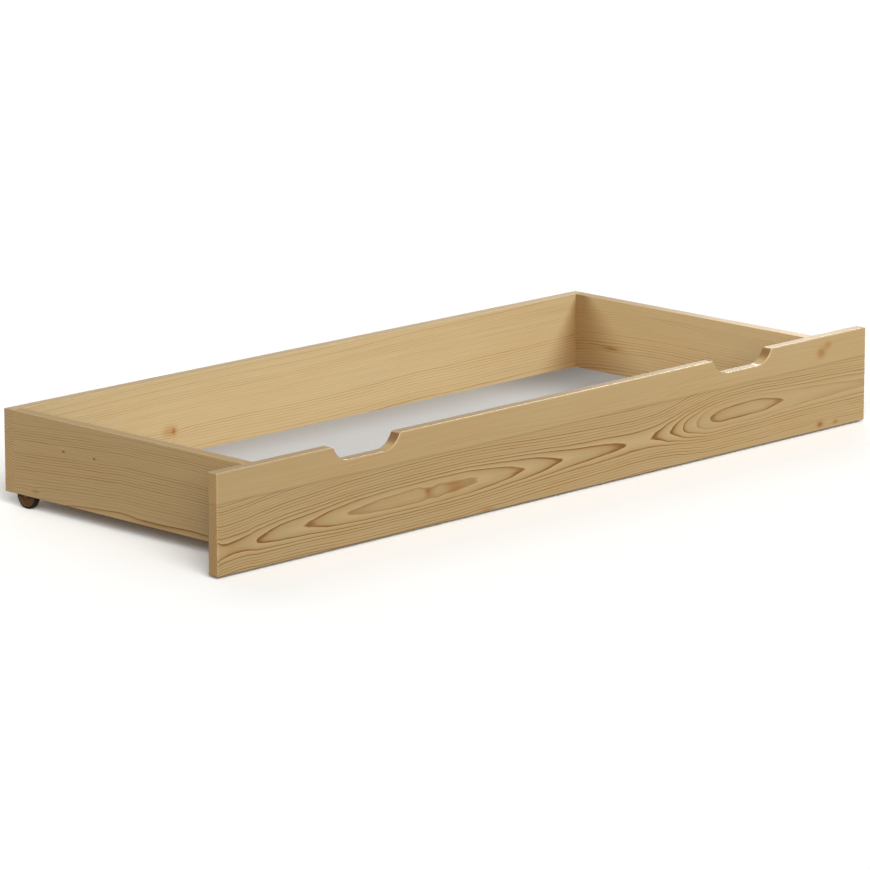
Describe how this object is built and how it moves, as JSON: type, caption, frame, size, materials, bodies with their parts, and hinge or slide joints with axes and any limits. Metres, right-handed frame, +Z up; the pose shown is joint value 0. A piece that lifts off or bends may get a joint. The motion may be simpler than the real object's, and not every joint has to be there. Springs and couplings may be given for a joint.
{
  "type": "under bed box",
  "caption": "Low open wooden box on small recessed rollers, with a wide front panel with grip cut-outs in its top edge and a white floor panel; rolls under a bed for storage.",
  "frame": {"origin": "on the ground, under the centre of the box's overall outline", "axes": "+X along the front panel, +Y from the front panel to the back panel, +Z up"},
  "size_m": [1.98, 0.775, 0.215],
  "materials": {
    "pine": "clear lacquered pine, satin",
    "batten_pine": "planed pine, unfinished",
    "white_board": "white-faced fibreboard, satin",
    "brown_plastic": "moulded brown plastic",
    "dark_tread": "matt soft tread",
    "steel": "bright zinc plated",
    "beech": "plain beech"
  },
  "bodies": {
    "box": {"front_panel": "pine", "left_side_panel": "pine", "right_side_panel": "pine", "back_panel": "pine", "floor_panel": "white_board", "left_floor_batten": "batten_pine", "middle_floor_batten": "batten_pine", "right_floor_batten": "batten_pine", "front_left_roller_housing": "brown_plastic", "front_left_roller_axle": "steel", "front_right_roller_housing": "brown_plastic", "front_right_roller_axle": "steel", "rear_left_roller_housing": "brown_plastic", "rear_left_roller_axle": "steel", "rear_right_roller_housing": "brown_plastic", "rear_right_roller_axle": "steel", "corner_screws": "steel", "roller_screws": "steel", "floor_screws": "steel", "batten_screws": "steel", "cam_dowels": "steel", "cam_locks": "steel", "wooden_dowels": "beech"},
    "front_left_roller": {"front_left_roller_wheel": "brown_plastic", "front_left_roller_tread": "dark_tread"},
    "front_right_roller": {"front_right_roller_wheel": "brown_plastic", "front_right_roller_tread": "dark_tread"},
    "rear_left_roller": {"rear_left_roller_wheel": "brown_plastic", "rear_left_roller_tread": "dark_tread"},
    "rear_right_roller": {"rear_right_roller_wheel": "brown_plastic", "rear_right_roller_tread": "dark_tread"}
  },
  "joints": [
    {"name": "front_left_roll", "type": "hinge", "parent": "box", "child": "front_left_roller", "pos_m": [-0.8595, -0.3285, 0.029], "axis": [1, 0, 0], "continuous": true},
    {"name": "front_right_roll", "type": "hinge", "parent": "box", "child": "front_right_roller", "pos_m": [0.8595, -0.3285, 0.029], "axis": [1, 0, 0], "continuous": true},
    {"name": "rear_left_roll", "type": "hinge", "parent": "box", "child": "rear_left_roller", "pos_m": [-0.8595, 0.3275, 0.029], "axis": [1, 0, 0], "continuous": true},
    {"name": "rear_right_roll", "type": "hinge", "parent": "box", "child": "rear_right_roller", "pos_m": [0.8595, 0.3275, 0.029], "axis": [1, 0, 0], "continuous": true}
  ]
}
